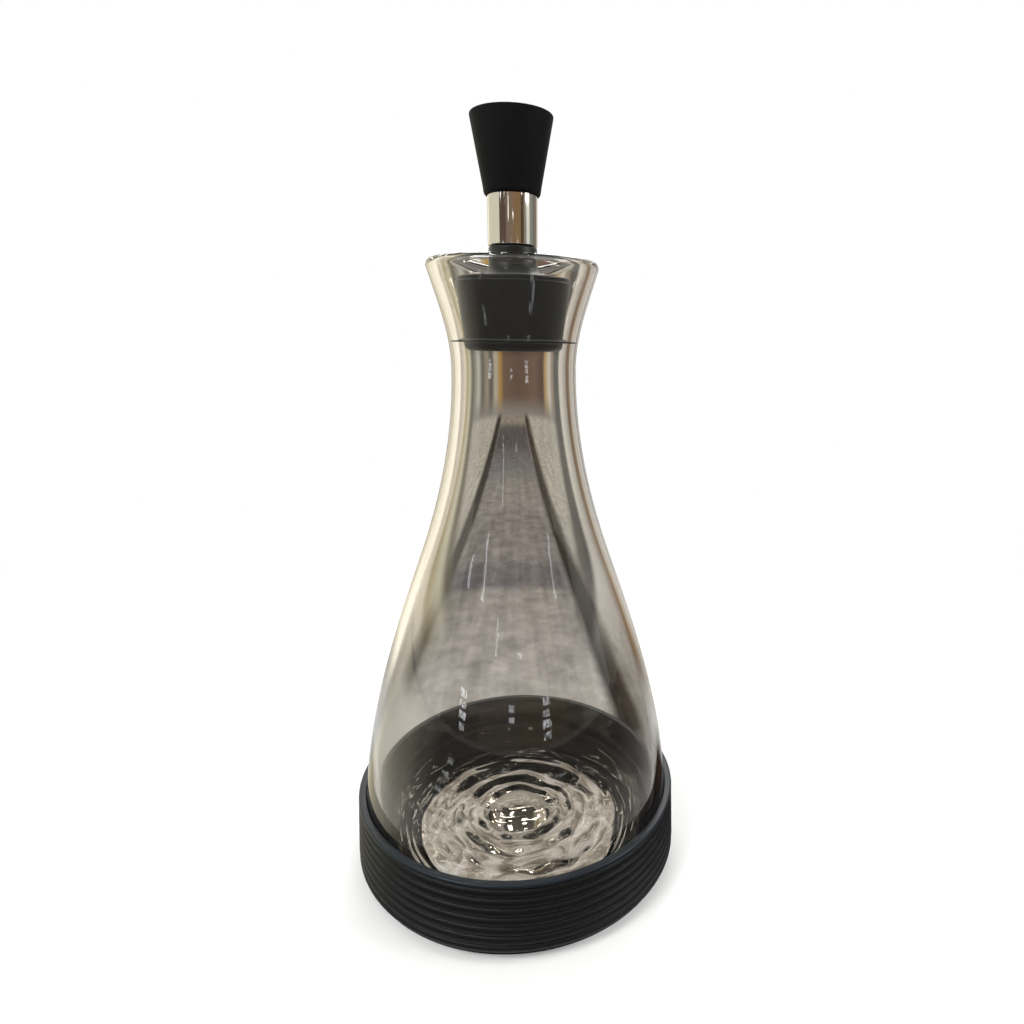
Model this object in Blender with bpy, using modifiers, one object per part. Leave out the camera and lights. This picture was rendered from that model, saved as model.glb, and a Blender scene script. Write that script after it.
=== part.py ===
# An oil dispenser: a glass bottle in a ribbed silicone boot, closed by a silicone stopper
# with a steel pouring tube, whose mouth is covered by a silicone cap.
#
# Sizes are in millimetres. The table is at height 0 and all pieces are turned about the Z axis.
# Each moving group has an empty on that axis, and its pieces hang from the empty.

import math

import bmesh
import bpy

MM = 0.001
ROUND_STEPS = 48           # flats round a turned piece
BOTTOM_POINTS = 14         # points over the rings of the bottle's bottom
CORNER_POINTS = 5          # points round the boot's lower edge
SHARP_ANGLE = 35.0         # degrees, edges steeper than this stay crisp
MERGE_DISTANCE = 0.01      # joins the points that a turned outline has on its axis

# Room between pieces that touch, and between the cap or the stopper and what it slides on.
TOUCH_GAP = 0.3

# Silicone boot under the bottle.
BOOT_FLOOR = 2.0           # thickness of the ring that the bottle stands on
BOOT_HOLE_RADIUS = 33.4    # round window in the floor
BOOT_HEIGHT = 22.9
BOOT_LIP_BAND = 1.3        # smooth band above the highest groove
BOOT_LIP_WALL = 1.4        # wall at the lip
BOOT_LIP_ROUNDING = 0.45
BOOT_LOW_WALL = 2.4        # wall above the rounded bottom edge
BOOT_CORNER_WIDTH = 7.0    # rounded bottom edge, across
BOOT_CORNER_HEIGHT = 5.3   # rounded bottom edge, up
RIB_PITCH = 2.65
RIB_DEPTH = 0.55
RIB_CREST = 0.5            # flat share of a rib
LOWEST_RIB = 0.6           # no rib reaches lower than this
FOOT_START = 0.72          # the smooth foot starts at this share of the lowest groove's height

# Glass bottle. Heights are above its foot.
FOOT_INNER_RADIUS = 32.0   # flat ring that it stands on
FOOT_OUTER_RADIUS = 37.0
BELLY_RADIUS = 44.1
BELLY_HEIGHT = 9.7
SHOULDER_RADIUS = 25.7
SHOULDER_HEIGHT = 88.8
SHOULDER_LEAN = -0.374     # change of radius per millimetre of height
WAIST_RADIUS = 15.7
WAIST_HEIGHT = 139.0
MOUTH_LENGTH = 24.8        # from the waist up to the rim
MOUTH_RADIUS = 21.0
MOUTH_LEAN = 0.31
RIM_ROUNDING = 1.6         # height of the rounded rim
BODY_WALL = 2.2
NECK_WALL = 2.6
BASE_THICKNESS = 6.0       # glass under the oil
INNER_CORNER_HEIGHT = 8.0
FOOT_RECESS = 1.4          # underside above the foot ring
DOME_RADIUS = 10.5         # bump in the middle of the bottom
DOME_RISE = 3.6            # bump inside the bottle
PUNT_RISE = 3.0            # hollow under the bump
RIPPLE_PITCH = 8.0         # rings that the mould leaves round the bump
RIPPLE_HEIGHT = 0.5

# Silicone plug. Heights are above or below the sealing lip, which lies in the neck.
SEAL_ABOVE_WAIST = 6.3     # the lip lies where the neck starts to flare
SEAL_THICKNESS = 0.6
PLUG_CLEARANCE = 0.5       # between the plug's foot and the glass
PLUG_FOOT_LENGTH = 2.5     # plug below the top of the sealing lip
PLUG_FOOT_ROUNDING = 1.3
PLUG_HEAD_LENGTH = 14.8    # plug above the sealing lip
PLUG_TAPER = 1.3           # head is this much wider than the foot
PLUG_RIM_STEP = 1.0        # smooth band round the head
PLUG_RIM_INSET = 0.3
PLUG_WALL = 2.2
PLUG_ROOF = 2.1
PLUG_HEM_WIDTH = 2.4       # foot of the skirt turned in under the core
PLUG_HEM_THICKNESS = 0.8
COLLAR_LENGTH = 6.8        # sleeve under the steel tube
COLLAR_INSET = 0.1
COLLAR_FLARE_RADIUS = 3.0  # fillet between sleeve and head
HEAD_CROWN = 0.5           # head stands this much higher at the fillet than at its rim

# Hard core that stiffens the plug and carries the tube.
CORE_PIPE_WALL = 1.0
CORE_FLANGE = 1.8
CORE_SPIGOT = 8.0          # length inside the steel tube
CORE_EDGE = 0.5

# Steel tube.
TUBE_RADIUS = 6.0
TUBE_WALL = 1.0
TUBE_LENGTH = 23.1
TUBE_EDGE = 0.25

# Pouring insert in the tube's mouth.
INSERT_CLEARANCE = 0.4     # between the insert and the stem that closes the tube
INSERT_LENGTH = 4.5
POUR_HOLE_RADIUS = 3.0
VENT_HOLE_RADIUS = 0.6
HOLE_WALL = 0.5            # between each hole and the insert's side

# Silicone cap and the hard stopper inside it.
CAP_OVERLAP = 11.9         # tube inside the cap
CAP_ROOF = 5.0
CAP_LIP_WALL = 0.6
CAP_FLARE = 2.95           # top is this much wider than the foot
CAP_LIP_ROUNDING = 1.5
CAP_TOP_ROUNDING = 0.4
STEM_LENGTH = 2.2          # below the tube's end
STEM_HEAD_THICKNESS = 1.4
STEM_HEAD_OVERHANG = 1.2   # head wider than the cap's socket
STEM_EDGE = 0.3

BLACK_SILICONE = (0.013, 0.014, 0.016, 1.0)
BLACK_PLASTIC = (0.02, 0.02, 0.022, 1.0)
NATURAL_PLASTIC = (0.62, 0.62, 0.58, 1.0)
POLISHED_STEEL = (0.68, 0.66, 0.62, 1.0)
CLEAR_GLASS = (0.93, 0.94, 0.92, 1.0)


# Radii that follow from the sizes above.
boot_bore = BELLY_RADIUS + TOUCH_GAP     # straight above the belly, so that the bottle lifts out
tube_bore = TUBE_RADIUS - TUBE_WALL
pipe_radius = tube_bore - TOUCH_GAP
pipe_bore = pipe_radius - CORE_PIPE_WALL
collar_radius = TUBE_RADIUS - COLLAR_INSET
collar_bore = pipe_radius + TOUCH_GAP
socket_radius = TUBE_RADIUS + TOUCH_GAP

# Heights that follow from the sizes above.
bottle_foot = BOOT_FLOOR + TOUCH_GAP
bottle_top = WAIST_HEIGHT + MOUTH_LENGTH
seal_in_bottle = WAIST_HEIGHT + SEAL_ABOVE_WAIST
collar_top = PLUG_HEAD_LENGTH + COLLAR_LENGTH
tube_foot = collar_top + TOUCH_GAP
tube_top = tube_foot + TUBE_LENGTH
insert_top = tube_top - STEM_LENGTH - INSERT_CLEARANCE


def arc(center, radii, start, end, steps):
    # Points of an elliptic arc, as (radius, height), between two angles in degrees.
    points = []
    for step in range(steps + 1):
        angle = math.radians(start + (end - start) * step / steps)
        points.append((center[0] + radii[0] * math.cos(angle), center[1] + radii[1] * math.sin(angle)))
    return points


def span(height, low, high):
    # Smooth cubic between two stations, each given as (height, radius, lean).
    length = high[0] - low[0]
    t = (height - low[0]) / length
    from_low = (2 * t**3 - 3 * t**2 + 1) * low[1] + (t**3 - 2 * t**2 + t) * length * low[2]
    from_high = (3 * t**2 - 2 * t**3) * high[1] + (t**3 - t**2) * length * high[2]
    return from_low + from_high


def bump(radius, reach):
    # A smooth bump, 1 on the axis and 0 at its reach.
    if radius >= reach:
        return 0.0
    return 0.5 + 0.5 * math.cos(math.pi * radius / reach)


def ripple(radius):
    # Low rings round the bump, level where the bump ends.
    if radius <= DOME_RADIUS:
        return 0.0
    return 0.5 * RIPPLE_HEIGHT * (1.0 - math.cos(2.0 * math.pi * (radius - DOME_RADIUS) / RIPPLE_PITCH))


def glass_radius(height):
    # Outer radius of the bottle's side, from the belly to the mouth.
    belly = (BELLY_HEIGHT, BELLY_RADIUS, 0.0)
    shoulder = (SHOULDER_HEIGHT, SHOULDER_RADIUS, SHOULDER_LEAN)
    waist = (WAIST_HEIGHT, WAIST_RADIUS, 0.0)
    mouth = (bottle_top - RIM_ROUNDING, MOUTH_RADIUS, MOUTH_LEAN)
    if height < SHOULDER_HEIGHT:
        return span(height, belly, shoulder)
    if height < WAIST_HEIGHT:
        return span(height, shoulder, waist)
    return span(height, waist, mouth)


def glass_wall(height):
    # The wall thickens evenly from the belly to the waist.
    share = (height - BELLY_HEIGHT) / (WAIST_HEIGHT - BELLY_HEIGHT)
    return BODY_WALL + (NECK_WALL - BODY_WALL) * min(max(share, 0.0), 1.0)


def bore_radius(height):
    # Inner radius of the bottle's side.
    return glass_radius(height) - glass_wall(height)


def boot_radius(height):
    # Outer radius over the ribs: a leaning wall above a rounded bottom edge.
    low = boot_bore + BOOT_LOW_WALL
    lip = boot_bore + BOOT_LIP_WALL
    if height < BOOT_CORNER_HEIGHT:
        drop = 1.0 - height / BOOT_CORNER_HEIGHT
        return low - BOOT_CORNER_WIDTH * (1.0 - math.sqrt(1.0 - drop**2))
    return low + (lip - low) * (height - BOOT_CORNER_HEIGHT) / (BOOT_HEIGHT - BOOT_CORNER_HEIGHT)


def material(name, color, roughness, metallic=0.0, transmission=0.0):
    surface = bpy.data.materials.new(name)
    surface.use_nodes = True
    shader = surface.node_tree.nodes["Principled BSDF"]
    shader.inputs["Base Color"].default_value = color
    shader.inputs["Roughness"].default_value = roughness
    shader.inputs["Metallic"].default_value = metallic
    shader.inputs["Transmission Weight"].default_value = transmission
    surface.diffuse_color = color
    return surface


def finished_mesh(source):
    # The mesh that the modifiers of an object give, with smooth round sides and crisp edges.
    bpy.context.view_layer.update()
    evaluated = source.evaluated_get(bpy.context.evaluated_depsgraph_get())
    mesh = bpy.data.meshes.new_from_object(evaluated)
    work = bmesh.new()
    work.from_mesh(mesh)
    bmesh.ops.remove_doubles(work, verts=work.verts, dist=MERGE_DISTANCE * MM)
    bmesh.ops.dissolve_degenerate(work, edges=work.edges, dist=MERGE_DISTANCE * MM)
    work.to_mesh(mesh)
    work.free()
    mesh.shade_smooth()
    mesh.set_sharp_from_angle(angle=math.radians(SHARP_ANGLE))
    return mesh


def turned_piece(name, outline, surface, group, parent, ring=False):
    # Turns an outline of (radius, height) points about Z. The outline runs down its outer side.
    # A ring's outline closes on itself; any other one starts and ends on the axis.
    count = len(outline)
    edges = [(index, index + 1) for index in range(count - 1)]
    if ring:
        edges.append((count - 1, 0))
    mesh = bpy.data.meshes.new(name)
    mesh.from_pydata([(radius * MM, 0.0, height * MM) for radius, height in outline], edges, [])
    piece = bpy.data.objects.new(name, mesh)
    group.objects.link(piece)
    screw = piece.modifiers.new("turn", 'SCREW')
    screw.axis = 'Z'
    screw.angle = math.radians(360.0)
    screw.steps = ROUND_STEPS
    screw.render_steps = ROUND_STEPS
    screw.use_merge_vertices = True
    screw.merge_threshold = MERGE_DISTANCE * MM
    piece.data = finished_mesh(piece)
    piece.data.name = name
    piece.modifiers.clear()
    piece.data.materials.append(surface)
    piece.parent = parent
    return piece


def axis_empty(name, height, group, parent=None):
    # A point on the Z axis that a moving group hangs from.
    empty = bpy.data.objects.new(name, None)
    empty.empty_display_size = 0.02
    empty.location = (0.0, 0.0, height * MM)
    empty.parent = parent
    group.objects.link(empty)
    return empty


def boot_outline():
    # From the lip down the ribs, in along the foot, up the window's edge and the inside.
    lip_outer = boot_radius(BOOT_HEIGHT)
    rounding = (BOOT_LIP_ROUNDING, BOOT_LIP_ROUNDING)
    lip_center = BOOT_HEIGHT - BOOT_LIP_ROUNDING
    outline = arc((lip_outer - BOOT_LIP_ROUNDING, lip_center), rounding, 90.0, 0.0, 2)
    groove = BOOT_HEIGHT - BOOT_LIP_BAND
    flank = RIB_PITCH * (1.0 - RIB_CREST) / 2.0
    outline.append((boot_radius(groove + flank), groove + flank))
    while groove - RIB_PITCH > LOWEST_RIB:
        outline.append((boot_radius(groove) - RIB_DEPTH, groove))
        outline.append((boot_radius(groove - flank), groove - flank))
        outline.append((boot_radius(groove - RIB_PITCH + flank), groove - RIB_PITCH + flank))
        groove -= RIB_PITCH
    outline.append((boot_radius(groove) - RIB_DEPTH, groove))
    for step in reversed(range(CORNER_POINTS)):
        height = groove * FOOT_START * (step / (CORNER_POINTS - 1)) ** 2
        outline.append((boot_radius(height), height))
    outline.append((BOOT_HOLE_RADIUS, 0.0))
    outline.append((BOOT_HOLE_RADIUS, BOOT_FLOOR))
    corner_center = (FOOT_OUTER_RADIUS, bottle_foot + BELLY_HEIGHT)
    corner_radii = (boot_bore - FOOT_OUTER_RADIUS, BELLY_HEIGHT + TOUCH_GAP)
    outline += arc(corner_center, corner_radii, -90.0, 0.0, 6)
    outline += arc((boot_bore + BOOT_LIP_ROUNDING, lip_center), rounding, 180.0, 90.0, 2)
    return outline


def bottle_outline():
    # From the middle of the inner bottom, up the inside, over the rim, down the outside and under.
    floor = BASE_THICKNESS
    corner_top = floor + INNER_CORNER_HEIGHT
    inner_belly = bore_radius(corner_top)
    inner_foot = FOOT_OUTER_RADIUS - BODY_WALL
    rim = bottle_top - RIM_ROUNDING
    outline = []
    for step in range(BOTTOM_POINTS):
        radius = inner_foot * step / BOTTOM_POINTS
        outline.append((radius, floor + DOME_RISE * bump(radius, DOME_RADIUS) + ripple(radius)))
    outline += arc((inner_foot, corner_top), (inner_belly - inner_foot, INNER_CORNER_HEIGHT), -90.0, -15.0, 4)
    outline += [(bore_radius(height), height) for height in side_heights(corner_top, rim)]
    rim_middle = (glass_radius(rim) + bore_radius(rim)) / 2.0
    outline += arc((rim_middle, rim), (NECK_WALL / 2.0, RIM_ROUNDING), 135.0, 0.0, 3)
    outline += [(glass_radius(height), height) for height in reversed(side_heights(BELLY_HEIGHT, rim)[:-1])]
    corner_center = (FOOT_OUTER_RADIUS, BELLY_HEIGHT)
    corner_radii = (BELLY_RADIUS - FOOT_OUTER_RADIUS, BELLY_HEIGHT)
    outline += arc(corner_center, corner_radii, -15.0, -90.0, 5)
    outline += [(FOOT_INNER_RADIUS, 0.0), (FOOT_INNER_RADIUS - FOOT_RECESS, FOOT_RECESS)]
    for share in (1.0, 0.75, 0.5, 0.25, 0.0):
        radius = DOME_RADIUS * share
        outline.append((radius, FOOT_RECESS + PUNT_RISE * bump(radius, DOME_RADIUS)))
    return outline


def side_heights(low, high):
    # Stations up the bottle's side, even over the body and even over the neck.
    body_count = 9
    neck_count = 5
    body = [low + (WAIST_HEIGHT - low) * step / body_count for step in range(body_count)]
    neck = [WAIST_HEIGHT + (high - WAIST_HEIGHT) * step / neck_count for step in range(neck_count + 1)]
    return body + neck


def plug_outline():
    # From the collar's top down the outside, round the foot and the hem, and up the inside.
    seal_radius = bore_radius(seal_in_bottle - SEAL_THICKNESS) - TOUCH_GAP
    foot_radius = bore_radius(seal_in_bottle - PLUG_FOOT_LENGTH) - PLUG_CLEARANCE
    head_radius = foot_radius + PLUG_TAPER
    foot = -PLUG_FOOT_LENGTH
    flare = (collar_radius + COLLAR_FLARE_RADIUS, PLUG_HEAD_LENGTH + COLLAR_FLARE_RADIUS)
    flare_radii = (COLLAR_FLARE_RADIUS, COLLAR_FLARE_RADIUS - HEAD_CROWN)
    outline = [(collar_radius, collar_top)]
    outline += arc(flare, flare_radii, 180.0, 270.0, 4)
    outline.append((head_radius - 2.0 * PLUG_RIM_INSET, PLUG_HEAD_LENGTH))
    outline.append((head_radius - PLUG_RIM_INSET, PLUG_HEAD_LENGTH - PLUG_RIM_INSET))
    outline.append((head_radius - PLUG_RIM_INSET, PLUG_HEAD_LENGTH - PLUG_RIM_STEP))
    outline.append((head_radius, PLUG_HEAD_LENGTH - PLUG_RIM_STEP - PLUG_RIM_INSET))
    outline += [(foot_radius, SEAL_THICKNESS), (seal_radius, 0.0), (seal_radius, -0.5 * SEAL_THICKNESS)]
    outline.append((foot_radius, -SEAL_THICKNESS))
    foot_center = (foot_radius - PLUG_FOOT_ROUNDING, foot + PLUG_FOOT_ROUNDING)
    outline += arc(foot_center, (PLUG_FOOT_ROUNDING, PLUG_FOOT_ROUNDING), 0.0, -90.0, 3)
    hem_radius = skirt_radius(foot) - PLUG_HEM_WIDTH
    hem_top = foot + PLUG_HEM_THICKNESS
    outline += [(hem_radius, foot), (hem_radius, hem_top), (skirt_radius(hem_top), hem_top)]
    roof = PLUG_HEAD_LENGTH - PLUG_ROOF
    outline += [(skirt_radius(roof), roof), (collar_bore, roof), (collar_bore, collar_top)]
    return outline


def skirt_radius(height):
    # Inside of the plug's skirt, which tapers with its outside.
    foot_radius = bore_radius(seal_in_bottle - PLUG_FOOT_LENGTH) - PLUG_CLEARANCE
    share = (height + PLUG_FOOT_LENGTH) / (PLUG_HEAD_LENGTH + PLUG_FOOT_LENGTH)
    return foot_radius + PLUG_TAPER * share - PLUG_WALL


def core_outline():
    # A spool: a pipe with a flange under the plug's roof and one that closes the skirt.
    foot = -PLUG_FOOT_LENGTH + PLUG_HEM_THICKNESS + TOUCH_GAP
    flange_top = PLUG_HEAD_LENGTH - PLUG_ROOF - TOUCH_GAP
    pipe_top = tube_foot + CORE_SPIGOT
    outline = [(pipe_radius - CORE_EDGE, pipe_top), (pipe_radius, pipe_top - CORE_EDGE), (pipe_radius, flange_top)]
    for top in (flange_top, foot + CORE_FLANGE):
        bottom = top - CORE_FLANGE
        if top != flange_top:
            outline.append((pipe_radius, top))
        outline.append((skirt_radius(top) - TOUCH_GAP, top))
        outline.append((skirt_radius(bottom) - TOUCH_GAP, bottom))
        if top == flange_top:
            outline.append((pipe_radius, bottom))
    outline += [(pipe_bore, foot), (pipe_bore, pipe_top)]
    return outline


def tube_outline():
    top = tube_top
    return [
        (TUBE_RADIUS - TUBE_EDGE, top),
        (TUBE_RADIUS, top - TUBE_EDGE),
        (TUBE_RADIUS, tube_foot + TUBE_EDGE),
        (TUBE_RADIUS - TUBE_EDGE, tube_foot),
        (tube_bore, tube_foot),
        (tube_bore, top - TUBE_EDGE),
        (tube_bore + TUBE_EDGE, top),
    ]


def cap_outline():
    # Heights are above the tube's end. From the middle of the top, down and into the socket.
    foot_radius = socket_radius + CAP_LIP_WALL
    top_radius = foot_radius + CAP_FLARE
    socket_top = TOUCH_GAP
    top = socket_top + CAP_ROOF
    foot = -CAP_OVERLAP
    head_radius = socket_radius + STEM_HEAD_OVERHANG + TOUCH_GAP
    head_top = socket_top + STEM_HEAD_THICKNESS + 2.0 * TOUCH_GAP
    outline = [(0.0, top)]
    top_center = (top_radius - CAP_TOP_ROUNDING, top - CAP_TOP_ROUNDING)
    outline += arc(top_center, (CAP_TOP_ROUNDING, CAP_TOP_ROUNDING), 90.0, 0.0, 2)
    lip_center = (socket_radius, foot + CAP_LIP_ROUNDING)
    outline += arc(lip_center, (CAP_LIP_WALL, CAP_LIP_ROUNDING), 0.0, -75.0, 3)
    outline.append((socket_radius, foot))
    outline.append((socket_radius, socket_top))
    outline += [(head_radius, socket_top), (head_radius, head_top), (0.0, head_top)]
    return outline


def stem_outline():
    # A mushroom: its head is held in the cap's roof and its stem closes the tube's mouth.
    stem_radius = tube_bore - TOUCH_GAP
    head_radius = socket_radius + STEM_HEAD_OVERHANG
    head_foot = 2.0 * TOUCH_GAP
    head_top = head_foot + STEM_HEAD_THICKNESS
    return [
        (0.0, head_top),
        (head_radius - STEM_EDGE, head_top),
        (head_radius, head_top - STEM_EDGE),
        (head_radius, head_foot),
        (stem_radius, head_foot),
        (stem_radius, STEM_EDGE - STEM_LENGTH),
        (stem_radius - STEM_EDGE, -STEM_LENGTH),
        (0.0, -STEM_LENGTH),
    ]


def insert_outline():
    top = insert_top
    return [
        (0.0, top),
        (pipe_radius - TUBE_EDGE, top),
        (pipe_radius, top - TUBE_EDGE),
        (pipe_radius, top - INSERT_LENGTH),
        (0.0, top - INSERT_LENGTH),
    ]


def hole_cutter(name, radius, offset, group, parent):
    # A cylinder longer than the insert, off the axis by the offset.
    middle = insert_top - INSERT_LENGTH / 2.0
    work = bmesh.new()
    bmesh.ops.create_cone(
        work,
        cap_ends=True,
        segments=ROUND_STEPS // 2,
        radius1=radius * MM,
        radius2=radius * MM,
        depth=2.0 * INSERT_LENGTH * MM,
    )
    mesh = bpy.data.meshes.new(name)
    work.to_mesh(mesh)
    work.free()
    cutter = bpy.data.objects.new(name, mesh)
    cutter.location = (offset * MM, 0.0, middle * MM)
    cutter.parent = parent
    cutter.hide_render = True
    cutter.display_type = 'WIRE'
    group.objects.link(cutter)
    return cutter


def cut_hole(piece, cutter):
    cut = piece.modifiers.new(cutter.name, 'BOOLEAN')
    cut.operation = 'DIFFERENCE'
    cut.object = cutter


def build():
    for item in list(bpy.data.objects):
        bpy.data.objects.remove(item)
    parts = bpy.data.collections.new("oil_dispenser")
    cutters = bpy.data.collections.new("cutters")
    bpy.context.scene.collection.children.link(parts)
    bpy.context.scene.collection.children.link(cutters)

    silicone = material("boot_silicone", BLACK_SILICONE, 0.62)
    plug_silicone = material("plug_silicone", BLACK_SILICONE, 0.5)
    cap_silicone = material("cap_silicone", BLACK_SILICONE, 0.7)
    glass = material("bottle_glass", CLEAR_GLASS, 0.02, transmission=1.0)
    steel = material("tube_steel", POLISHED_STEEL, 0.08, metallic=1.0)
    core_plastic = material("core_plastic", BLACK_PLASTIC, 0.35)
    insert_plastic = material("insert_plastic", NATURAL_PLASTIC, 0.4)
    stem_plastic = material("stem_plastic", BLACK_PLASTIC, 0.4)

    bottle_axis = axis_empty("bottle_axis", bottle_foot, parts)
    stopper_axis = axis_empty("stopper_axis", seal_in_bottle, parts, bottle_axis)
    cap_axis = axis_empty("cap_axis", tube_top, parts, stopper_axis)

    turned_piece("base_boot", boot_outline(), silicone, parts, None, ring=True)
    turned_piece("glass_bottle", bottle_outline(), glass, parts, bottle_axis)
    turned_piece("stopper_plug", plug_outline(), plug_silicone, parts, stopper_axis, ring=True)
    turned_piece("stopper_core", core_outline(), core_plastic, parts, stopper_axis, ring=True)
    turned_piece("pour_tube", tube_outline(), steel, parts, stopper_axis, ring=True)
    insert = turned_piece("pour_insert", insert_outline(), insert_plastic, parts, stopper_axis)
    pour_offset = pipe_radius - HOLE_WALL - POUR_HOLE_RADIUS
    vent_offset = VENT_HOLE_RADIUS + HOLE_WALL - pipe_radius
    cut_hole(insert, hole_cutter("pour_hole", POUR_HOLE_RADIUS, pour_offset, cutters, stopper_axis))
    cut_hole(insert, hole_cutter("vent_hole", VENT_HOLE_RADIUS, vent_offset, cutters, stopper_axis))
    turned_piece("cap_shell", cap_outline(), cap_silicone, parts, cap_axis)
    turned_piece("cap_stem", stem_outline(), stem_plastic, parts, cap_axis)


build()
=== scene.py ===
# Looks for the oil dispenser: glass bottle in a ribbed silicone boot, silicone stopper
# with a steel pouring tube, silicone cap. Sizes are in millimetres, colours in sRGB hex.
import math

import bmesh
import bpy
from mathutils import Euler, Matrix, Vector, noise


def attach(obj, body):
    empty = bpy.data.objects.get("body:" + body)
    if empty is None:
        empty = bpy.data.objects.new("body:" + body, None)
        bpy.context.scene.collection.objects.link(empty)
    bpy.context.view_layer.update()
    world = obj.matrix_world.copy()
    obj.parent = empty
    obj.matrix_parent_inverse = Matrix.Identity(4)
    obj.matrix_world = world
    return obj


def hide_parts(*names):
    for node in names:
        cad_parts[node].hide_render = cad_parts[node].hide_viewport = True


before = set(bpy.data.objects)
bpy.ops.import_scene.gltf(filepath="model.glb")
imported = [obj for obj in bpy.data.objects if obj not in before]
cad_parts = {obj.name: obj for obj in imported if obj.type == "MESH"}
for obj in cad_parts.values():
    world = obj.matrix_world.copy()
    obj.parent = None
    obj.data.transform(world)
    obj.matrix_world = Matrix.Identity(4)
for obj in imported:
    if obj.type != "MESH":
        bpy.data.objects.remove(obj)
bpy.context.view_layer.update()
mm = 0.001
print("frame loaded:", ", ".join(sorted(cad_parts)))

turning = {
    "cornerSegments": 5,  # in each rounded corner of an outline
    "mergeDistance": 0.002,  # joins the points that an outline has on its axis
    "sharpAngle": 40.0,  # edges steeper than this stay crisp
}


# small helpers
def hexColor(text):
    # sRGB hex to the linear colour that the shaders take
    parts = [int(text[at:at + 2], 16) / 255.0 for at in (0, 2, 4)]
    linear = [part / 12.92 if part <= 0.04045 else ((part + 0.055) / 1.055) ** 2.4
              for part in parts]
    return (linear[0], linear[1], linear[2], 1.0)


def addNode(tree, kind, settings=None, links=None):
    # a node with its settings (sockets, which take colours as hex, or properties) and what is
    # plugged into it: a socket, or a node, whose first output is then used
    node = tree.nodes.new("ShaderNode" + kind)
    for name, value in (settings or {}).items():
        if isinstance(name, tuple):  # a value for each of several sockets
            for part, amount in zip(name, value):
                node.inputs[part].default_value = amount
        elif isinstance(name, int) or name in node.inputs:
            node.inputs[name].default_value = hexColor(value) if isinstance(value, str) else value
        else:
            setattr(node, name, value)
    for name, source in (links or {}).items():
        socket = source.outputs[0] if isinstance(source, bpy.types.Node) else source
        tree.links.new(socket, node.inputs[name])
    return node


# settings that many nodes share
colours = {"data_type": 'RGBA'}
times = {"operation": 'MULTIPLY'}
larger = {"operation": 'MAXIMUM'}
eased = {"interpolation_type": 'SMOOTHSTEP'}
fromEdges = ("From Min", "From Max")
toEdges = ("To Min", "To Max")


def fillRamp(ramp, marks):
    # marks of (place, colour) and a cover where it isn't full, from the first to the last place
    elements = ramp.color_ramp.elements
    first, last = marks[0][0], marks[-1][0]
    while len(elements) < len(marks):
        elements.new(0.5)
    for element, mark in zip(elements, marks):
        element.position = (mark[0] - first) / (last - first)
    for element, mark in zip(elements, marks):
        element.color = hexColor(mark[1])[:3] + (mark[2:] or (1.0,))


def newMaterial(name):
    finish = bpy.data.materials.new(name)
    finish.use_nodes = True
    finish.node_tree.nodes.clear()
    return finish, finish.node_tree


def placeMesh(name, bm):
    mesh = bpy.data.meshes.new(name)
    bm.to_mesh(mesh)
    bm.free()
    piece = bpy.data.objects.new(name, mesh)
    bpy.context.scene.collection.objects.link(piece)
    return piece


def drawArc(centre, size, first, last, steps):
    # unrounded corners on an arc, from and to in degrees
    turns = [math.radians(first + (last - first) * step / steps) for step in range(steps + 1)]
    return [(centre[0] + size[0] * math.cos(turn), centre[1] + size[1] * math.sin(turn), 0.0)
            for turn in turns]


def drawProfile(corners, closed):
    # an outline of (radius, height, rounding) corners in the XZ plane, its corners rounded off
    bm = bmesh.new()
    verts = [bm.verts.new((corner[0] * mm, 0.0, corner[1] * mm)) for corner in corners]
    for first, second in zip(verts, verts[1:]):
        bm.edges.new((first, second))
    if closed:
        bm.edges.new((verts[-1], verts[0]))
    for vert, corner in zip(verts, corners):
        if corner[2] > 0.0:
            bmesh.ops.bevel(bm, geom=[vert], offset=corner[2] * mm, offset_type='OFFSET',
                            segments=turning["cornerSegments"], profile=0.5, affect='VERTICES',
                            material=-1)
    return bm


def spinProfile(name, bm, steps):
    # turns the outline about Z, closes its poles and points its faces outwards
    bmesh.ops.spin(bm, geom=bm.verts[:] + bm.edges[:], cent=(0, 0, 0), axis=(0, 0, 1),
                   angle=math.radians(360), steps=steps, use_merge=True)
    bmesh.ops.remove_doubles(bm, verts=bm.verts[:], dist=turning["mergeDistance"] * mm)
    bmesh.ops.recalc_face_normals(bm, faces=bm.faces[:])
    piece = placeMesh(name, bm)
    piece.data.shade_smooth()
    piece.data.set_sharp_from_angle(angle=math.radians(turning["sharpAngle"]))
    return piece


def dress(piece, body, finish, node):
    # the finish, the body that carries the piece and the CAD node that it stands for
    piece.data.materials.clear()
    piece.data.materials.append(finish)
    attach(piece, body)
    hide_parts(node)


# camera, where the photograph was taken from: close to the bottle and a little below its rim
cameraSetup = {
    "place": (0.0, -179.24, 148.66),
    "tilt": 74.18,
    "turn": -6.0,  # to the right of the bottle, which stands left of the lens axis
    "roll": -0.62,
    "lens": 23.95,
    "sensor": 36.0,
    "shift": (-0.0737, 0.0166),
    "nearest": 5.0,  # what it still sees
}


def placeCamera(setup):
    camera = bpy.data.objects.new("camera", bpy.data.cameras.new("camera"))
    bpy.context.scene.collection.objects.link(camera)
    turn = Euler((math.radians(setup["tilt"]), 0.0, 0.0)).to_matrix()
    turn = turn @ Matrix.Rotation(math.radians(setup["turn"]), 3, 'Y')
    turn = turn @ Matrix.Rotation(math.radians(setup["roll"]), 3, 'Z')
    camera.matrix_world = Matrix.Translation(Vector(setup["place"]) * mm) @ turn.to_4x4()
    camera.data.lens = setup["lens"]
    camera.data.sensor_width = setup["sensor"]
    camera.data.shift_x, camera.data.shift_y = setup["shift"]
    camera.data.clip_start = setup["nearest"] * mm
    bpy.context.scene.camera = camera


placeCamera(cameraSetup)
print("camera placed")


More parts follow.
